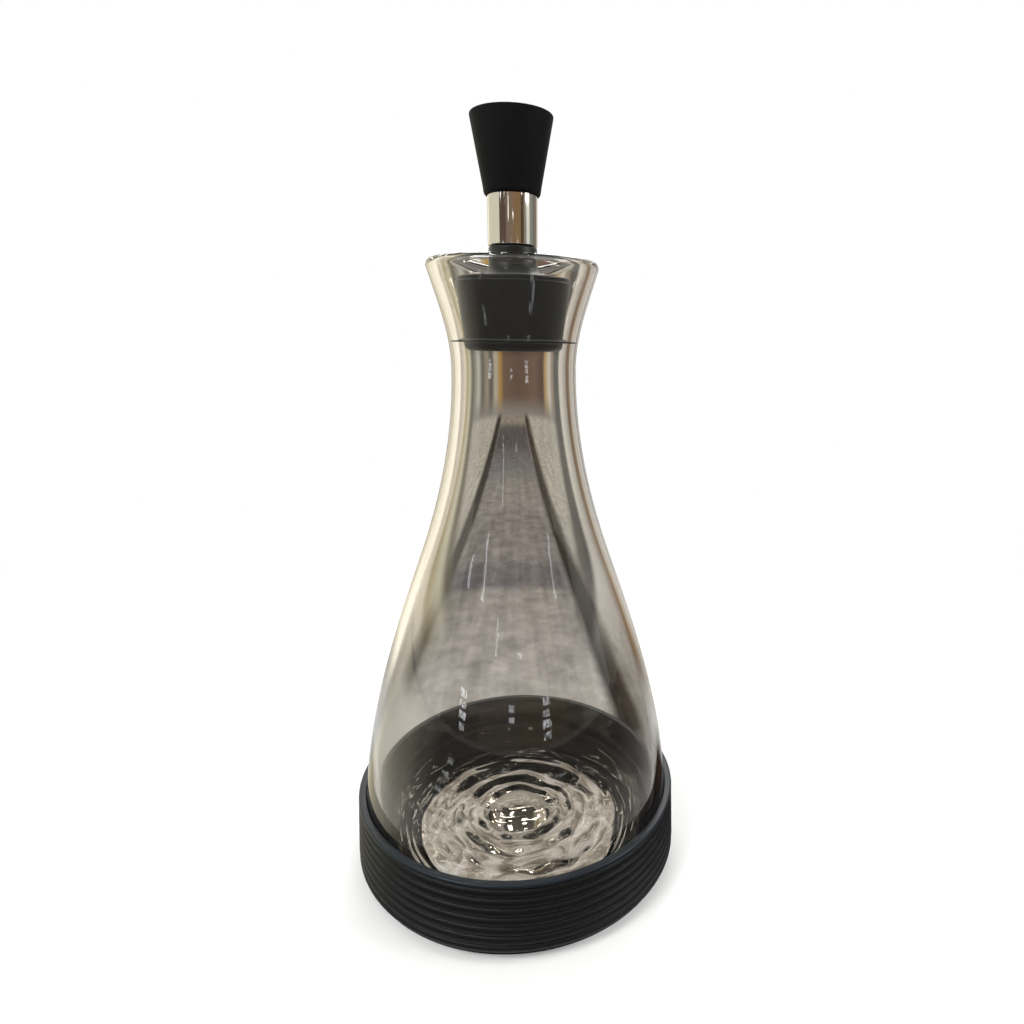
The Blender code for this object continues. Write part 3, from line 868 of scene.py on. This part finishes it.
def showPartly(tree, glow, cover):
    # the glow where the cover is full, clear where it is 0
    clear = addNode(tree, "BsdfTransparent")
    mix = addNode(tree, "MixShader", {}, {0: cover, 1: clear, 2: glow})
    addNode(tree, "OutputMaterial", {}, {"Surface": mix})


cardPlace = {"distance": 900.0, "heights": (-50.0, 900.0), "strength": 1.0}
cards = [
    # name, azimuth, width in degrees, colour
    ("cardStraw", 79.0, 78.0, "eeeddc"),
    ("cardWalnut", 134.0, 32.0, "65574e"),
    ("cardElm", 166.0, 32.0, "8c7b6c"),
    ("cardOak", 200.0, 36.0, "93795a"),
    ("cardShadow", 225.0, 14.0, "5c4a3a"),
    ("cardAsh", 239.0, 14.0, "9a968a"),
    ("cardPaper", 255.0, 18.0, "f4f6f2"),
    ("cardGrey", 274.0, 20.0, "9a9c97"),
    ("cardSlate", 306.0, 44.0, "858682"),
]
ceiling = {
    "tint": "fffaf0",
    "lampDistance": 890.0,
    "lampWidth": 5.0,  # in degrees
    "lampTallness": 48.0,
    "lampStrength": 10.0,
    "tubeDistance": 885.0,
    "tubeStrength": 9.0,
}
ceilingLamps = {
    # rows of small lamps that only sparkle in the glass: azimuths, heights
    "rear": ((-44.0, -26.0, -9.0, 8.0, 25.0, 43.0), (470.0, 660.0, 880.0)),
    "front": ((146.0, 168.0, 191.0, 213.0), (560.0, 800.0)),
}
ceilingTubes = [
    # long lamps behind the bottle: azimuth, width in degrees, height from and to
    (-27.0, 24.0, (600.0, 620.0)),
    (17.0, 24.0, (640.0, 660.0)),
    (-16.0, 26.0, (800.0, 830.0)),
    (30.0, 24.0, (850.0, 880.0)),
    (4.0, 40.0, (1060.0, 1110.0)),
    (-70.0, 30.0, (700.0, 730.0)),
    (74.0, 30.0, (720.0, 750.0)),
    (-40.0, 30.0, (1250.0, 1310.0)),
    (40.0, 30.0, (1350.0, 1420.0)),
]


def makeCard(name, distance, azimuth, width, heights, color, strength, through):
    # an even glow of one colour, as from a painted card or a lamp's opal cover
    finish, tree = newMaterial(name + "Colour")
    glow = addNode(tree, "Emission", {"Color": color, "Strength": strength})
    addNode(tree, "OutputMaterial", {}, {"Surface": glow})
    spinScreen(name, [(distance, height) for height in heights], azimuth, width, finish, through)


paneLook = {
    "tint": "f6f9ff",
    "clutter": 75.0,
    "clutterEdge": (0.4, 0.6),
    "distance": 860.0,  # of the upright ones
    "height": 0.9,  # of those on the table
}
panes = [
    # windows in front of the bottle, mirrored down its belly: azimuth, width in degrees, upright
    # (height from and to) or as the table mirrors them (distance from and to), strength
    (136.0, 6.0, True, (100.0, 120.0), 10.0),
    (136.5, 6.0, True, (74.0, 92.0), 10.0),
    (137.0, 6.0, True, (46.0, 66.0), 10.0),
    (137.0, 4.0, True, (16.0, 36.0), 8.0),
    (133.0, 4.0, False, (320.0, 370.0), 4.0),
    (131.0, 5.0, False, (244.0, 268.0), 4.0),
    (128.0, 4.0, False, (180.0, 196.0), 4.0),
    (202.5, 6.0, True, (108.0, 130.0), 10.0),
    (202.0, 6.0, True, (80.0, 98.0), 10.0),
    (202.0, 7.0, True, (50.0, 72.0), 10.0),
    (202.0, 6.0, True, (18.0, 38.0), 8.0),
    (205.0, 6.0, False, (395.0, 450.0), 2.5),
    (208.0, 7.0, False, (285.0, 312.0), 2.5),
    (175.0, 4.5, True, (104.0, 124.0), 8.0),
    (175.0, 4.0, True, (78.0, 92.0), 7.0),
    (171.0, 5.0, False, (390.0, 440.0), 2.5),
    (143.0, 3.0, True, (336.0, 372.0), 8.0),
    (125.0, 3.0, True, (316.0, 336.0), 6.0),
    (223.0, 3.0, True, (326.0, 370.0), 7.0),
    (161.0, 2.4, True, (225.0, 325.0), 6.0),
    (182.0, 3.0, True, (238.0, 254.0), 8.0),
]


def makePane(name, azimuth, width, upright, reach, strength):
    # a window broken up by what stands in it
    look = paneLook
    finish, tree = newMaterial(name + "Colour")
    spot = addNode(tree, "TexCoord").outputs["Object"]
    clutter = addNode(tree, "TexNoise", {"Scale": look["clutter"], "Detail": 3.0}, {"Vector": spot})
    cover = addNode(tree, "MapRange", {fromEdges: look["clutterEdge"]}, {"Value": clutter})
    glow = addNode(tree, "Emission", {"Color": look["tint"], "Strength": strength})
    showPartly(tree, glow, cover)
    points = [(look["distance"], place) if upright else (place, look["height"]) for place in reach]
    spinScreen(name, points, azimuth, width, finish, False)


boardHeight = 0.4  # of a board's part on the floor
boards = [
    # name, distance, part on the floor from and to where it fades in, height of the upper edge,
    # heights between which it fades in, azimuth, colour and cover of each stripe, strength
    ("boardCream", 900.0, (110.0, 280.0), 900.0, (-2.0, -1.0),
     ((12.0, "5a5447", 0.0), (14.5, "5a5447", 0.9), (17.5, "bebaa5"), (22.0, "a5976f"),
      (25.0, "e8e0cc"), (48.0, "f3ecda"), (58.0, "f3ecda", 0.0)), 1.7),
    ("boardBrown", 900.0, (110.0, 280.0), 900.0, (-2.0, -1.0),
     ((-56.0, "6b4f38", 0.0), (-53.0, "6b4f38"), (-44.0, "897355"), (-40.0, "c2bab0"),
      (-20.0, "d9d7d2"), (-17.0, "3f3c39"), (-14.0, "4a4540", 0.9), (-11.5, "5a5447", 0.0)), 1.4),
    ("boardClay", 880.0, (0.0, 0.0), 420.0, (30.0, 70.0),
     ((-14.5, "8f867d", 0.0), (-12.0, "b5a18f", 0.9), (-10.2, "f0ece0"), (-8.8, "dcbc8a"),
      (-7.4, "6a5448"), (-5.0, "80665a"), (-1.0, "6e564a"), (2.3, "7a5f50"), (3.2, "c29a4c"),
      (4.4, "d6cdb8", 0.9), (5.6, "66625e", 0.9), (7.0, "b5aa95", 0.9), (8.6, "7c746d", 0.9),
      (10.6, "dbdbd2", 0.9), (12.6, "a9a496", 0.8), (14.5, "8f867d", 0.0)), 1.0),
    ("boardCeiling", 1300.0, (0.0, 0.0), 6000.0, (350.0, 1000.0),
     ((-180.0, "5f5b54"), (0.0, "6e6961"), (180.0, "5f5b54")), 1.0),
    ("boardFront", 700.0, (46.0, 62.0), 0.0, (-2.0, -1.0),
     ((56.0, "b9b198", 0.0), (66.0, "b9b198"), (100.0, "b0aa96"), (112.0, "7c776a"),
      (126.0, "26251f"), (136.0, "131312"), (230.0, "131312"), (250.0, "201c19"),
      (292.0, "372c26"), (304.0, "372c26", 0.0)), 2.0),
]


def boardFinish(name, floorPart, climb, stripes, strength):
    # printed stripes up the board, soft at their edges, clear towards the bottle and at the sides
    finish, tree = newMaterial(name)
    spot = addNode(tree, "TexCoord").outputs["Object"]
    axes = addNode(tree, "SeparateXYZ", {}, {"Vector": spot}).outputs
    turned = addNode(tree, "Math", times | {1: -1.0}, {0: axes["X"]})
    around = addNode(tree, "Math", {"operation": 'ARCTAN2'}, {0: turned, 1: axes["Y"]})
    first, last = stripes[0][0], stripes[-1][0]
    if last > 180.0:  # counts on past the front instead of starting again at -180
        shifted = addNode(tree, "Math", {"operation": 'ADD', 1: math.tau}, {0: around})
        around = addNode(tree, "Math", {"operation": 'MODULO', 1: math.tau}, {0: shifted})
    share = addNode(tree, "MapRange", {fromEdges: (math.radians(first), math.radians(last))},
                    {"Value": around})
    ramp = addNode(tree, "ValToRGB", {}, {"Fac": share})
    ramp.color_ramp.interpolation = 'EASE'
    fillRamp(ramp, stripes)
    reach = addNode(tree, "VectorMath", {"operation": 'LENGTH'}, {0: spot}).outputs["Value"]
    near, rise = [
        addNode(tree, "MapRange", eased | {fromEdges: (start * mm, end * mm)}, {"Value": value})
        for start, end, value in ((floorPart[0], floorPart[1] + 0.01, reach),
                                  (climb[0], climb[1], axes["Z"]))]
    inside = addNode(tree, "Math", times, {0: near, 1: rise})
    cover = addNode(tree, "Math", times, {0: inside, 1: ramp.outputs["Alpha"]})
    glow = addNode(tree, "Emission", {"Strength": strength}, {"Color": ramp})
    showPartly(tree, glow, cover)
    return finish


def makeBoard(name, distance, floorPart, top, climb, stripes, strength):
    points = [(distance, boardHeight)]
    if floorPart[0] > 0.0:
        points.insert(0, (floorPart[0], boardHeight))
    if top > 0.0:
        points.append((distance, top))
    first, last = stripes[0][0], stripes[-1][0]
    finish = boardFinish(name + "Colour", floorPart, climb, stripes, strength)
    spinScreen(name, points, (first + last) / 2, last - first, finish, top > 0.0)


plank = {
    # wooden plank behind the bottle, seen only through the glass from the front
    "height": 0.2,
    "reach": (50.0, 1300.0),
    "fadeFrom": 1120.0,
    "azimuths": (25.0, 36.0),  # it fades out between these, to both sides
    "lead": 60.0,  # how far in front of the axis the right side's fade starts from
    "leadGrows": (-20.0, 20.0),
    "sector": 58.0,  # of the piece, to each side
    "across": ((-110.0, "cec9be"), (-82.0, "cec9be"), (-73.0, "2e261f"), (-61.0, "2e261f"),
               (-52.0, "b5b0ac", 0.0), (38.0, "b5b0ac", 0.0), (46.0, "2f2720"), (57.0, "4a4036"),
               (68.0, "cec9be"), (110.0, "cec9be")),
    "along": ((40.0, "d4d3cf"), (81.0, "cecbc8"), (118.0, "c2bebc"), (195.0, "b5b0ac"),
              (212.0, "afaaa7"), (224.0, "817d82"), (258.0, "7d7a7e"), (285.0, "9f9a98"),
              (448.0, "9d9793"), (540.0, "99948f"), (620.0, "7e7d7f"), (740.0, "716e70"),
              (800.0, "5e5a5c"), (1000.0, "5e5a5c"), (1100.0, "a39a8c"), (1300.0, "a39a8c")),
    "gapsFrom": (10.0, 55.0),  # the dark gaps only show from here on
    "stains": (62.0, 0.32),  # scale and depth
    "grain": (130.0, 0.2, 0.05),  # scale, depth and stretch along the plank
    "markEdge": (0.3, 0.7),
}


def plankFinish(look):
    # grey weathered wood: a shadow across it, dark gaps at both edges and paler boards beside it
    finish, tree = newMaterial("weathered_plank")
    spot = addNode(tree, "TexCoord").outputs["Object"]
    axes = addNode(tree, "SeparateXYZ", {}, {"Vector": spot}).outputs
    ramps = []
    for marks, value in ((look["along"], axes["Y"]), (look["across"], axes["X"])):
        place = addNode(tree, "MapRange", {fromEdges: (marks[0][0] * mm, marks[-1][0] * mm)},
                        {"Value": value})
        ramps.append(addNode(tree, "ValToRGB", {}, {"Fac": place}))
        fillRamp(ramps[-1], marks)
    along, across = ramps
    apart = addNode(tree, "MapRange", {fromEdges: [edge * mm for edge in look["gapsFrom"]]},
                    {"Value": axes["Y"]})
    beside = addNode(tree, "Math", times, {0: apart, 1: across.outputs["Alpha"]})
    tone = addNode(tree, "Mix", colours, {0: beside, 6: along, 7: across})
    scale, grainDepth, stretch = look["grain"]
    drawn = addNode(tree, "Mapping", {"Scale": (1.0, stretch, 1.0)}, {"Vector": spot})
    grain = addNode(tree, "TexNoise", {"Scale": scale, "Detail": 4.0}, {"Vector": drawn})
    scale, stainDepth = look["stains"]
    stain = addNode(tree, "TexNoise", {"Scale": scale, "Detail": 5.0, "Roughness": 0.65},
                    {"Vector": spot})
    fibres, worn = [
        addNode(tree, "MapRange", {fromEdges: look["markEdge"],
                                   toEdges: (1.0 - depth, 1.0 + depth)}, {"Value": marks})
        for marks, depth in ((grain, grainDepth), (stain, stainDepth))]
    bright = addNode(tree, "Math", times, {0: fibres, 1: worn})
    glow = addNode(tree, "Emission", {}, {"Color": tone.outputs[2], "Strength": bright})
    lead = addNode(tree, "MapRange", {fromEdges: [edge * mm for edge in look["leadGrows"]],
                                      toEdges: (0.0, look["lead"] * mm)}, {"Value": axes["X"]})
    back = addNode(tree, "Math", {"operation": 'ADD'}, {0: axes["Y"], 1: lead})
    turned = addNode(tree, "Math", {"operation": 'ARCTAN2'}, {0: axes["X"], 1: back})
    aside = addNode(tree, "Math", {"operation": 'ABSOLUTE'}, {0: turned})
    inner, outer = [math.radians(azimuth) for azimuth in look["azimuths"]]
    cover, away = [
        addNode(tree, "MapRange", eased | {fromEdges: (start, end), toEdges: (1.0, 0.0)},
                {"Value": value})
        for start, end, value in ((inner, outer, aside),
                                  (look["fadeFrom"] * mm, look["reach"][1] * mm, axes["Y"]))]
    showPartly(tree, glow, addNode(tree, "Math", times, {0: cover, 1: away}))
    return finish


underWood = {
    # disc of the same wood under the boot's window, glowing as painted light where the boot and
    # glass shade the floor
    "height": 0.2,
    "radii": (0.01, 33.0),
    "scale": 150.0,
    "toneEdge": (0.28, 0.72),
    # the palest tones, up to white, are painted glints
    "tones": ((0.0, "5b5448"), (0.3, "978e81"), (0.55, "cfc8bd"), (0.8, "efebe2"),
              (1.0, "ffffff")),
    "strength": 1.1,
}


def stainAndPaintedLightFinish(look):
    # stained wood that glows as painted light; its marks are the wood's stains and also painted
    # glints and dark caustics, which the thick glass bottom magnifies
    finish, tree = newMaterial("stained_wood_with_painted_light")
    spot = addNode(tree, "TexCoord").outputs["Object"]
    stain = addNode(tree, "TexNoise", {"Scale": look["scale"], "Detail": 4.0, "Distortion": 0.6},
                    {"Vector": spot})
    share = addNode(tree, "MapRange", {fromEdges: look["toneEdge"]}, {"Value": stain})
    tone = addNode(tree, "ValToRGB", {}, {"Fac": share})
    fillRamp(tone, look["tones"])
    glow = addNode(tree, "Emission", {"Strength": look["strength"]}, {"Color": tone})
    addNode(tree, "OutputMaterial", {}, {"Surface": glow})
    return finish


makeFloor(setLook)
makeWorld(setLook)
for softbox in softboxes:
    makeSoftbox(*softbox)
for name, azimuth, width, color in cards:
    makeCard(name, cardPlace["distance"], azimuth, width, cardPlace["heights"], color,
             cardPlace["strength"], False)
for at, pane in enumerate(panes):
    makePane("pane%d" % at, *pane)
for at, (azimuth, width, heights) in enumerate(ceilingTubes):
    makeCard("tube%d" % at, ceiling["tubeDistance"], azimuth, width, heights, ceiling["tint"],
             ceiling["tubeStrength"], True)
spinScreen("underWood", [(radius, underWood["height"]) for radius in underWood["radii"]], 0.0,
           360.0, stainAndPaintedLightFinish(underWood), True)
spinScreen("plank", [(radius, plank["height"]) for radius in plank["reach"]], 0.0,
           2.0 * plank["sector"], plankFinish(plank), True)
for row, (azimuths, heights) in ceilingLamps.items():
    for azimuth in azimuths:
        for height in heights:
            makeCard("%sLamp%d_%d" % (row, azimuth % 360, height), ceiling["lampDistance"],
                     azimuth, ceiling["lampWidth"], (height, height + ceiling["lampTallness"]),
                     ceiling["tint"], ceiling["lampStrength"], True)
for board in boards:
    makeBoard(*board)
print("set and lights made")

bpy.context.scene.view_settings.view_transform = 'Standard'
